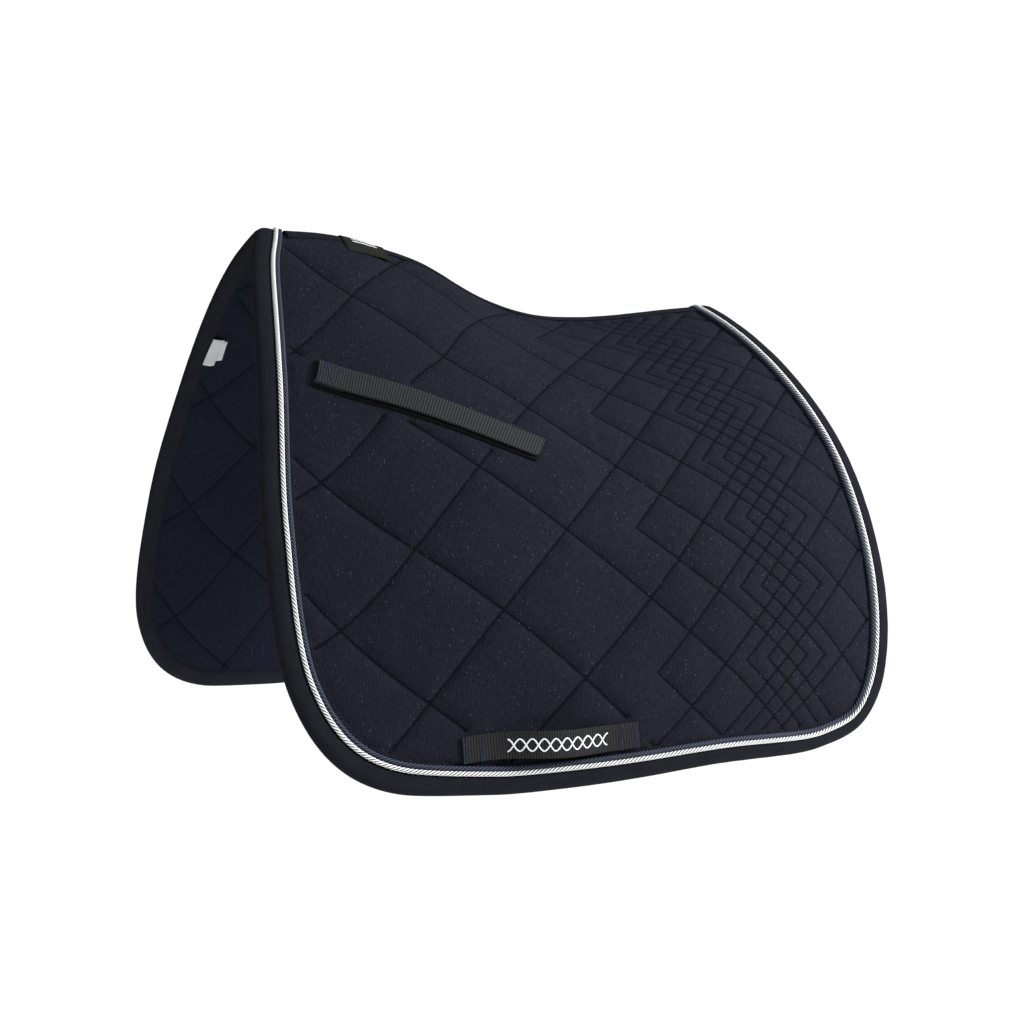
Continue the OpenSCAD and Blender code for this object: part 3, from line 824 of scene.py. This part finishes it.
def make_flap(side):
    q, q_in = quilt(side, "cover"), quilt(side, "lining")
    used, x, t, quads = flap_grid(q, TRIM)
    uv = np.stack([x, t], 1) / UV_MM
    # Where the cotton gets painted shade in its seams.
    seams, seams_in = (
        ((w["seam_a"] | w["seam_b"]) & (w["swell"] < SEAM_OPEN))[used] for w in (q, q_in))
    inner = lining_depth(q_in)[used]
    outer = lay(side, x, t, cover_depth(q)[used])
    points, faces = slab(side, outer, lay(side, x, t, inner - LINING_T), quads)
    cover = make_mesh(
        NAMES[side] + "_quilted_cover", points, faces, NAVY, np.concatenate([uv, uv]), "pad",
        {"seam": np.concatenate([seams, 0 * seams])})
    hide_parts(NAMES[side] + "_cover", NAMES[side] + "_wadding")
    lining = make_mesh(
        NAMES[side] + "_quilted_lining", lay(side, x, t, inner), flip(-side, quads), LINING, uv,
        "pad", {"seam": seams_in})
    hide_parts(NAMES[side] + "_lining")
    for label, w, depth_of, lift in (
        ("cover", q, cover_seam, -THREAD_LIFT), ("lining", q_in, lining_seam, THREAD_LIFT),
    ):
        thread = stitches(
            f"{NAMES[side]}_{label}_quilting_thread", quilting_thread(side, w, depth_of, lift),
            QUILTING_R, NAVY_THREAD, "pad")


for side in (LEFT, RIGHT):
    make_flap(side)

# ---- The binding and the piping cords ----

BINDING = np.array([  # distance from the edge and depth, once round the tape's section
    (16.2, 0.5), (15.8, -0.4), (14.8, -1.1), (12, -1.7), (8, -1.8), (5, -1.4), (3, -0.55),
    (1.4, 0.6), (0.4, 2.2), (0, 4.0), (0.4, 5.8), (1.4, 7.2), (3, 8.2), (5, 8.8), (8, 9.15),
    (11.5, 9.0), (14.2, 8.45), (15.6, 7.8), (16.2, 7.2), (15.8, 6.9), (11.5, 7.7), (5, 7.9),
    (2.6, 6.9), (1.3, 4.0), (2.6, 1.1), (5, 0.1), (11.5, -0.05), (15.6, 0.9),
])
BINDING_STEP = 3.2
MID_DEPTH = 4  # of the fold at the edge
RIPPLES = [(0.16, 9, 7, 21), (0.1, 31, 1, 22)]
BINDING_STITCHES = [(14.6, -1.2), (14.2, 8.5)]  # distance from the edge and depth
CORD_STRANDS = 4
LOBE = [0.0, 0.8, 1.0, 0.8]  # once over a strand; 0 is the hollow between two
LOBE_UV = 0.8
CORE = 0.6  # radius in the hollows, against 1 on the strands


def make_binding():
    run = running(lay(RIGHT, EDGE[:, 0], EDGE[:, 1]) / MM)
    at = np.linspace(0, run[-1], int(run[-1] / BINDING_STEP) + 1)
    p, n = read_at(at, run, EDGE), read_at(at, run, EDGE_IN)
    d, depth = BINDING.T
    x = p[:, :1] + d * n[:, :1]
    t = np.maximum(p[:, 1:] + d * n[:, 1:], 0)
    ripple = uneven(at[:, None], d[None], *RIPPLES[0])
    ripple = ripple + uneven(at[:, None], 0 * d[None], *RIPPLES[1])
    outside = np.where(depth < MID_DEPTH, -1, 1) * np.clip(np.abs(depth - MID_DEPTH) / 3, 0, 1)
    rings = both_flaps(lay(RIGHT, x, t, depth + outside * ripple))
    uv = np.stack(np.broadcast_arrays(at[:, None], running(BINDING)[None]), -1) / UV_MM
    obj = ring_solid("edge_binding_tape", rings, TAPE, "pad", np.concatenate([uv, uv[-2:0:-1]]))
    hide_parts("edge_binding")
    found = [thread_along(side, inset_line(distance, 2.0), depth)
             for side in (LEFT, RIGHT) for distance, depth in BINDING_STITCHES]
    thread = stitches("binding_stitches", found, BINDING_R, NAVY_THREAD, "pad")


def make_cord(name, node, distance, diameter, bead, depth, paint):
    """A cord of strands twisted together, all round both flaps. bead is what one strand
    takes of the cord's length, as it passes over."""
    lobe = np.tile(LOBE, CORD_STRANDS)
    sides = len(lobe)  # also the number of rings to one turn of the twist
    spacing = CORD_STRANDS * bead / sides
    line = inset_line(distance, spacing)
    centre = both_flaps(lay(RIGHT, line[:, 0], line[:, 1], depth))
    up = both_flaps(outward(line[:, 0], line[:, 1]))
    ahead = unit(np.roll(centre, -1, 0) - np.roll(centre, 1, 0))
    up = unit(up - (up * ahead).sum(1)[:, None] * ahead)
    aside = np.cross(ahead, up)
    count = len(centre)
    phase = 2 * np.pi * round(count / sides) * np.arange(count) / count
    angle = 2 * np.pi * np.arange(sides) / sides - phase[:, None]
    r = diameter / 2 * MM * (CORE + (1 - CORE) * lobe)
    rings = centre[:, None] + (r * np.cos(angle))[..., None] * up[:, None]
    rings = rings + (r * np.sin(angle))[..., None] * aside[:, None]
    run = np.arange(count) * spacing
    uv = np.stack(np.broadcast_arrays(run[:, None], np.arange(sides)[None] * LOBE_UV), -1) / UV_MM
    obj = ring_solid(name, rings, paint, "pad", uv)
    # The hollow attribute carries the painted shade between the strands to the cord's paint.
    hollow = obj.data.attributes.new("hollow", "FLOAT", "POINT")
    hollow.data.foreach_set("value", np.tile(1 - lobe, count).astype(np.float32))
    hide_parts(node)


make_binding()
make_cord("white_twisted_cord", "white_piping", 18.6, 4.0, 3.6, -1.2, WHITE_CORD)
make_cord("navy_twisted_cord", "navy_piping", 22.6, 4.1, 3.5, 0.1, NAVY_CORD)

# ---- Spine tapes and the labels ----

SPINE_FRONT, SPINE_REAR = -219.6, 218.6
UNDER_FRONT, UNDER_REAR = -229.5, 228.5
TAPE_HALF = 14
TAPE_BUMPS = (0.12, 12, 8, 31)
SPINE_STITCH_T = 12
LABEL_FRONT, LABEL_REAR, LABEL_HALF, LABEL_T = -166, -124, 30, 0.55
LABEL_LEVEL, LABEL_DROP = -1.45, 0.6  # depth over the tape, and the step down beside it
LIP_AT, LIP_LONG = 14.5, 4
LABEL_BUMPS = (0.15, 9, 9, 41)
STRIPE_FRONT, STRIPE_REAR, STRIPE_ROWS = -157, -133, (6, 11)
STRIPE_W, STRIPE_LEVEL, STRIPE_T = 1.2, -1.95, 0.4
LABEL_STITCH, LABEL_STITCH_GAP = 2.0, 0.8


def tape_depth(level):
    return lambda x, t: level + uneven(x, t, *TAPE_BUMPS)


def label_depth(x, t):
    lip = np.clip((np.abs(t) - LIP_AT) / LIP_LONG, 0, 1)
    return LABEL_LEVEL + LABEL_DROP * lip * lip * (3 - 2 * lip) - uneven(x, t, *LABEL_BUMPS)


def over_spine(name, front, rear, half, depth_of, thickness, material, cells, across=29):
    """A strip over the ridge; depth_of gives its depth at x and t."""
    x, t = np.meshgrid(
        np.linspace(front, rear, cells), np.linspace(-half, half, across), indexing="ij")
    d = depth_of(x, t)
    outer = lay(RIGHT, x, t, d).reshape(-1, 3)
    inner = lay(RIGHT, x, t, d + thickness).reshape(-1, 3)
    points, faces = slab(RIGHT, outer, inner, grid_quads(cells, across))
    uv = np.stack([x, t], -1).reshape(-1, 2) / UV_MM
    return make_mesh(name, points, faces, material, np.concatenate([uv, uv]), "pad")


top_tape = over_spine(
    "spine_tape_outer", SPINE_FRONT, SPINE_REAR, TAPE_HALF, tape_depth(-0.45), TAPE_T, TAPE, 160)
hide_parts("spine_tape_top")
low_tape = over_spine(
    "spine_tape_inner", UNDER_FRONT, UNDER_REAR, TAPE_HALF, tape_depth(PAD_T + TAPE_GAP), TAPE_T,
    TAPE, 160)
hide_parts("spine_tape_under")
line = straight((SPINE_FRONT + 2, SPINE_STITCH_T), (SPINE_REAR - 2, SPINE_STITCH_T), 200)
found = [thread_along(side, line, depth)
         for side in (LEFT, RIGHT) for depth in (-0.55, PAD_T + 1.25)]
stitches("spine_tape_stitches", found, SPINE_R, NAVY_THREAD, "pad")

label = over_spine(
    "woven_spine_label", LABEL_FRONT, LABEL_REAR, LABEL_HALF, label_depth, LABEL_T, LABEL, 43, 61)
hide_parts("spine_label")
stripes = [
    band("stripe", side, straight((STRIPE_FRONT, t), (STRIPE_REAR, t), 25), STRIPE_W,
         STRIPE_LEVEL, STRIPE_T, WHITE_THREAD, None, across=4)
    for side in (LEFT, RIGHT) for t in STRIPE_ROWS]
stripes = join("spine_label_stripes", stripes, "pad")
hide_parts("spine_label_marks")
found = []
for side in (LEFT, RIGHT):  # down the label's two sides
    for x in (LABEL_FRONT + 1.4, LABEL_REAR - 1.4):
        c = straight((x, 1), (x, 28.5), 20)
        depth = label_depth(c[:, 0], c[:, 1]) - 0.1
        found.append(thread_along(side, c, depth, LABEL_STITCH, LABEL_STITCH_GAP))
for side in (LEFT, RIGHT):  # and along its ends
    c = straight((LABEL_FRONT + 2, 28.6), (LABEL_REAR - 2, 28.6), 30)
    found.append(thread_along(side, c, -1.1, LABEL_STITCH, LABEL_STITCH_GAP))
stitches("spine_label_stitches", found, LABEL_R, BLACK_TAPE, "pad")

# Care tags: name, node, top, bottom, width, depth, how far the bottom and the middle stand off.
for name, node, start, end, width, depth, lift, curl in (
    ("care_tag_front", "care_label_front", (-254, 132), (-260.8, 160), 12.6, 9.4, 1.5, 1.6),
    ("care_tag_rear", "care_label_rear", (-250.5, 136), (-252.3, 158), 13, 8.35, 0.3, 0.3),
):
    def tag_depth(run, v, u):
        return depth + lift * u**2 + curl * (1 - (2 * v / width) ** 2) * (0.4 + 0.6 * u)

    tag = band(
        name, RIGHT, straight(start, end, 26), width, tag_depth, 0.3, SATIN, "pad", across=18)
    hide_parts(node)

# ---- Billet straps and girth loops ----

STRAP_SKEW = (0.3, -0.3)
BASE_FROM, BASE_DROP, BASE_W, BASE_T = -0.018, 1.5, (24.5, 27), 1.3
STRAP_W, STRAP_WIDENS, STRAP_T = 20.8, 2.2, 1.5
STRAP_LEVEL, STRAP_RIBS = -3.7, (2.4, 0.22)  # depth; pitch and height of the ribs
STRAP_BUMPS = (0.12, 22, 14, 61)
TIP_LOSS, TIP_LONG, FREE_LENGTH = 0.12, 2.2, 190  # how much the end is rounded, over what length
FOLD_W = 21.6
HOOK_W, UNDER_STRAP = 20, -2.15
BOX_U, BOX_HALF, BOX_LEVEL = (0.018, 0.088), 9, -4.0
BOX_SIDES = ((0, 1), (2, 3), (0, 2), (1, 3), (0, 3), (1, 2))
SELVEDGE_AT, SELVEDGE_W, SELVEDGE_DROP = 12, 1.2, 0.25
LOOP_W, LOOP_T, LOOP_LEVEL, LOOP_RIBS = 21.6, 1.4, -1.7, (2.3, 0.16)
LOOP_ARCH, ARCH_FROM, ARCH_LONG = 11, 0.13, 0.74
ROWS_U, ROW_PAIR, ROW_HALF = (0.021, 0.108, 0.892, 0.979), (-0.0045, 0.0045), 10.5
ROW_FACES = ((1, -1.95), (0.6, PAD_T + 0.25))  # share of the row's length, and depth
BRAID_FROM, BRAID_LONG, BRAID_WAVES, BRAID_SWING = 0.24, 0.57, 4.5, 4.8
BRAID_LEVEL, BRAID_OVER, BRAID_W, BRAID_T = -1.95, 0.25, 1.15, 0.5
BRAID_ROUND, BRAID_HALF, TWIST_H, TWIST_RATE = 0.3, 0.58, 0.12, 5


def rib_depth(run, v, pitch, height):
    """Ribs across a webbing that end at its selvedges."""
    ribs = np.abs(np.sin(np.pi * run / pitch))
    edge = np.clip((SELVEDGE_AT - np.abs(v)) / SELVEDGE_W, 0, 1)
    return -height * ribs * edge + SELVEDGE_DROP * (1 - edge)


def strap_outer(run, v, u):
    return STRAP_LEVEL + rib_depth(run, v, *STRAP_RIBS) + uneven(run, v, *STRAP_BUMPS)


def arch(u):
    """How far the girth loop stands off the flap."""
    return LOOP_ARCH * np.sin(np.pi * np.clip((u - ARCH_FROM) / ARCH_LONG, 0, 1)) ** 2


def loop_outer(run, v, u):
    return LOOP_LEVEL - arch(u) + rib_depth(run, v, *LOOP_RIBS)


def make_strap(side):
    who = NAMES[side]
    moving = who + "_strap"
    base_line = strap_centre(np.linspace(BASE_FROM, 1.0, 90)) + [0, BASE_DROP]
    base = band(who + "_strap_base_tape", side, base_line, np.linspace(*BASE_W, 90), -1.0, BASE_T,
                BLACK_TAPE, "pad", across=12, skew=STRAP_SKEW)
    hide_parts(who + "_strap_base")
    u = np.linspace(0, 1, 430)
    rounding = 1 - TIP_LOSS * np.exp(-(((1 - u) * FREE_LENGTH / TIP_LONG) ** 2))
    width = (STRAP_W + STRAP_WIDENS * u) * rounding
    webbing_strap = band(
        who + "_billet_strap_webbing", side, strap_centre(u), width, strap_outer, STRAP_T,
        CHARCOAL, None, across=13, skew=STRAP_SKEW)
    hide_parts(who + "_billet_strap", who + "_strap_sewn_end")
    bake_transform(webbing_strap)
    fold = band(who + "_strap_folded_end", side, strap_centre(np.linspace(0.004, 0.13, 60)), FOLD_W,
                UNDER_STRAP, 1.0, CHARCOAL, "pad")
    hook = band(who + "_hook_tape", side, strap_centre(np.linspace(0.5, 0.97, 60)), HOOK_W,
                UNDER_STRAP, 0.8, BLACK_TAPE, moving)
    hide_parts(who + "_strap_hook_tape")
    corners = []
    for k in BOX_U:
        c = strap_centre(k)
        d = unit(strap_centre(k + 0.01) - strap_centre(k - 0.01))
        across = BOX_HALF * np.array([-d[1], d[0]])
        corners += [c - across, c + across]
    found = [thread_along(side, straight(corners[i], corners[j], 14), BOX_LEVEL, 2.0, 0.5)
             for i, j in BOX_SIDES]
    box = stitches(who + "_strap_box_stitches", found, BOX_R, BLUE_THREAD, "pad")
    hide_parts(who + "_strap_stitching")


def braid_strand(side, strand):
    w = np.linspace(0, 1, 240)
    u = BRAID_FROM + BRAID_LONG * w
    c = loop_centre(u)
    c[:, 1] += BRAID_SWING * np.cos(2 * np.pi * BRAID_WAVES * w + np.pi * strand)
    over = BRAID_OVER * np.cos(2 * np.pi * BRAID_WAVES * w + np.pi * (strand + 0.5))
    depth = BRAID_LEVEL - arch(u) - BRAID_OVER - np.abs(over)

    def outer(run, v, share):
        twist = TWIST_H * np.abs(np.sin(run * TWIST_RATE))
        return depth[:, None] - twist + BRAID_ROUND * (v / BRAID_HALF) ** 2

    return band("strand", side, c, BRAID_W, outer, BRAID_T, WHITE_THREAD, None, across=5)


def make_loop(side):
    who = NAMES[side]
    loop = band(
        who + "_girth_loop_webbing", side, loop_centre(np.linspace(0, 1, 330)), LOOP_W, loop_outer,
        LOOP_T, BLACK_WEB, "pad", across=13)
    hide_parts(who + "_girth_loop")
    found = []
    for row in ROWS_U:
        for off in ROW_PAIR:
            c = loop_centre(row + off)
            for share, depth in ROW_FACES:
                half = np.array([0, ROW_HALF * share])
                found.append(thread_along(side, straight(c - half, c + half, 20), depth, 1.6, 0.3))
    rows = stitches(who + "_girth_loop_stitches", found, LOOP_R, BLUE_THREAD, "pad")
    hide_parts(who + "_loop_stitching")
    strands = [braid_strand(side, strand) for strand in (0, 1)]
    motif = join(who + "_girth_loop_braid", strands, "pad")
    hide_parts(who + "_loop_motif")


for side in (LEFT, RIGHT):
    make_strap(side)
    make_loop(side)

# ---- Camera, light and floor ----

CAMERA_AZ, CAMERA_EL, CAMERA_ROLL, LENS = -27.168, 4.153, 1.63, 61.47
CAMERA_BACK, CAMERA_RIGHT, CAMERA_UP, CAMERA_RAISE = 1693.2, 13.69, -193.3, 1.74
WALLS, WALLS_SEEN = 0.27, 1.05  # what the studio's walls give off, and how bright they look
FLOOR_Z, FLOOR_HALF, FLOOR_GLOW, FLOOR_POINTS = -1.25, 1.7, 0.95, 25
LAMPS = [  # name, azimuth, elevation, distance, size, watts
    ("key", 46, 24, 2.8, 0.9, 130),
    ("fill", -50, 20, 2.8, 1.8, 19),
    ("top", 10, 78, 2.4, 1.6, 14),
]
LAMPS_AIM = Vector((0, 0, -0.15))


def towards(azimuth, elevation):
    a, e = math.radians(azimuth), math.radians(elevation)
    return Vector((math.sin(a) * math.cos(e), -math.cos(a) * math.cos(e), math.sin(e)))


def add_camera():
    a, roll = math.radians(CAMERA_AZ), math.radians(CAMERA_ROLL)
    back, right = towards(CAMERA_AZ, CAMERA_EL), Vector((math.cos(a), math.sin(a), 0))
    up = back.cross(right)
    c, s = math.cos(roll), math.sin(roll)
    right, up = right * c + up * s, up * c - right * s
    at = (back * CAMERA_BACK + right * CAMERA_RIGHT + up * CAMERA_UP) * MM
    at += Vector((0, 0, CAMERA_RAISE * MM))
    cam = bpy.data.cameras.new("camera")
    cam.sensor_width, cam.lens = 36.0, LENS
    cam.clip_start, cam.clip_end = 0.05, 60
    eye = bpy.data.objects.new("camera", cam)
    eye.matrix_world = Matrix((
        (right.x, up.x, back.x, at.x), (right.y, up.y, back.y, at.y),
        (right.z, up.z, back.z, at.z), (0, 0, 0, 1)))
    bpy.context.scene.collection.objects.link(eye)
    bpy.context.scene.camera = eye


def add_walls():
    """White walls all round. The camera sees them brighter than they light the pad."""
    world = bpy.data.worlds.new("studio")
    world.use_nodes = True
    tree = world.node_tree
    seen = tree.nodes.new("ShaderNodeLightPath").outputs["Is Camera Ray"]
    level = tree.nodes.new("ShaderNodeMapRange")
    tree.links.new(seen, level.inputs[0])
    level.inputs[3].default_value, level.inputs[4].default_value = WALLS, WALLS_SEEN
    tree.nodes["Background"].inputs[0].default_value = (1, 1, 1, 1)
    tree.links.new(level.outputs[0], tree.nodes["Background"].inputs[1])
    bpy.context.scene.world = world


def add_lamp(name, azimuth, elevation, distance, size, watts):
    light = bpy.data.lights.new(name, "AREA")
    light.shape, light.size, light.energy = "DISK", size, watts
    o = bpy.data.objects.new(name, light)
    d = towards(azimuth, elevation)
    o.location = d * distance + LAMPS_AIM
    o.rotation_mode = "QUATERNION"
    o.rotation_quaternion = d.to_track_quat("Z", "Y")
    bpy.context.scene.collection.objects.link(o)


def add_floor():
    paint = Paint("pale_floor")
    paint.set(paint.shader, {"Base Color": rgb(0.9, 0.9, 0.9), "Emission Color": rgb(1, 1, 1),
                             "Emission Strength": FLOOR_GLOW})
    g = np.linspace(-FLOOR_HALF, FLOOR_HALF, FLOOR_POINTS)
    x, y = np.meshgrid(g, g, indexing="ij")
    points = np.stack([x, y, np.full(x.shape, FLOOR_Z)], -1).reshape(-1, 3)
    floor = make_mesh("floor", points, grid_quads(FLOOR_POINTS, FLOOR_POINTS), paint.done(0.9, 0.2))


add_camera()
add_walls()
for lamp in LAMPS:
    add_lamp(*lamp)
add_floor()
bpy.context.scene.view_settings.view_transform = "Standard"
